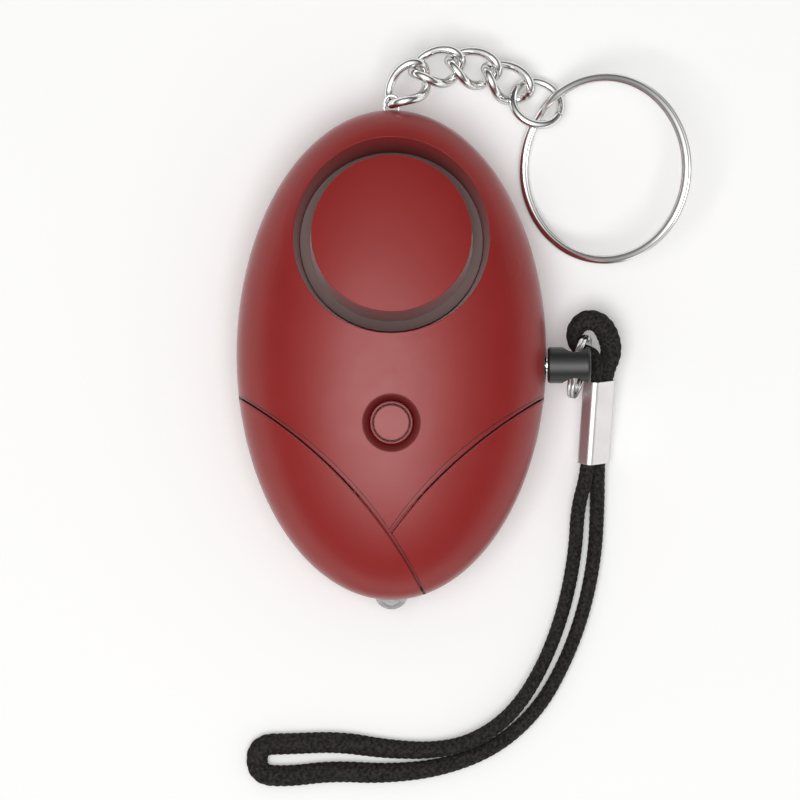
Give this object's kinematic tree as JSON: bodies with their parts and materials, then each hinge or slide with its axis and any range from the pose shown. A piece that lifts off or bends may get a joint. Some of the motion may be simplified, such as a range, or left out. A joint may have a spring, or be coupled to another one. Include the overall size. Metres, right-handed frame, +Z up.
{
  "type": "personal safety alarm",
  "caption": "Egg-shaped personal safety alarm with a siren, push button, lamp, pull pin on a wrist cord, and a key ring on a short curb chain.",
  "frame": {"origin": "middle of the flat back, where the alarm lies on a surface", "axes": "+Z up out of the siren side, +Y toward the siren end and the key chain, +X toward the pull pin"},
  "size_m": [0.0649, 0.1058, 0.021],
  "materials": {
    "red_plastic": "satin",
    "grey_brown_plastic": "matte",
    "black_plastic": "matte",
    "dark_grey_plastic": "satin",
    "white_plastic": "matte",
    "gasket_rubber": "matte",
    "board_laminate": "satin",
    "brass": "satin",
    "ceramic": "matte",
    "copper": "satin",
    "clear_plastic": "gloss",
    "bright_steel": "polished",
    "steel": "satin",
    "anodised_sleeve": "satin",
    "cord_polyester": "matte"
  },
  "bodies": {
    "alarm": {"front_shell": "red_plastic", "back_shell": "red_plastic", "siren_cap": "red_plastic", "siren_ring": "grey_brown_plastic", "gasket_ring": "gasket_rubber", "piezo_disc": "brass", "piezo_ceramic": "ceramic", "resonator_cup": "black_plastic", "piezo_wires": "dark_grey_plastic", "circuit_board": "board_laminate", "tact_switch": "dark_grey_plastic", "driver_chip": "black_plastic", "boost_coil": "copper", "capacitor": "steel", "transistor": "black_plastic", "battery_cell_1": "steel", "battery_cell_2": "steel", "battery_cell_3": "steel", "battery_contact_plus": "bright_steel", "battery_contact_minus": "bright_steel", "led_lamp": "clear_plastic", "led_leads": "bright_steel", "pin_sleeve": "black_plastic", "pin_contact_blades": "bright_steel", "case_screws": "steel", "keychain_eyelet": "bright_steel"},
    "button": {"button_cap": "red_plastic", "switch_plunger": "white_plastic"},
    "pin": {"pull_pin": "bright_steel", "pin_head": "dark_grey_plastic", "wrist_cord": "cord_polyester", "cord_ferrule": "anodised_sleeve"},
    "pin_ring": {"pin_ring": "bright_steel"},
    "link_1": {"chain_link_1": "bright_steel"},
    "link_2": {"chain_link_2": "bright_steel"},
    "link_3": {"chain_link_3": "bright_steel"},
    "link_4": {"chain_link_4": "bright_steel"},
    "jump_ring": {"jump_ring": "bright_steel"},
    "key_ring": {"key_ring": "bright_steel"}
  },
  "joints": [
    {"name": "pin_pull", "type": "slide", "parent": "alarm", "child": "pin", "axis": [1, 0, 0], "range_m": [0, 0.016]},
    {"name": "pin_ring_swing", "type": "hinge", "parent": "pin", "child": "pin_ring", "pos_m": [0.02618, -0.00145, 0.009], "axis": [0, 1, 0], "range_deg": [-8, 3]},
    {"name": "button_press", "type": "slide", "parent": "alarm", "child": "button", "axis": [0, 0.098, -0.9952], "range_m": [0, 0.0006], "stiffness_N_per_m": 400},
    {"name": "link_1_turn", "type": "hinge", "parent": "alarm", "child": "link_1", "pos_m": [0.0001, 0.03585, 0.0093], "axis": [0, 0, 1], "range_deg": [-8, 35]},
    {"name": "link_2_turn", "type": "hinge", "parent": "link_1", "child": "link_2", "pos_m": [0.00403, 0.04059, 0.00743], "axis": [0, 0, -1], "range_deg": [-35, 8]},
    {"name": "link_3_turn", "type": "hinge", "parent": "link_2", "child": "link_3", "pos_m": [0.00914, 0.0418, 0.00583], "axis": [0, 0, 1], "range_deg": [-8, 35]},
    {"name": "link_4_turn", "type": "hinge", "parent": "link_3", "child": "link_4", "pos_m": [0.01424, 0.04052, 0.00424], "axis": [0, 0, -1], "range_deg": [-35, 8]},
    {"name": "jump_ring_turn", "type": "hinge", "parent": "link_4", "child": "jump_ring", "pos_m": [0.01877, 0.03787, 0.00264], "axis": [0, 0, 1], "range_deg": [-8, 35]},
    {"name": "key_ring_turn", "type": "hinge", "parent": "jump_ring", "child": "key_ring", "pos_m": [0.0226, 0.0347, 0.0028], "axis": [0, 0, -1], "range_deg": [-35, 8]}
  ]
}
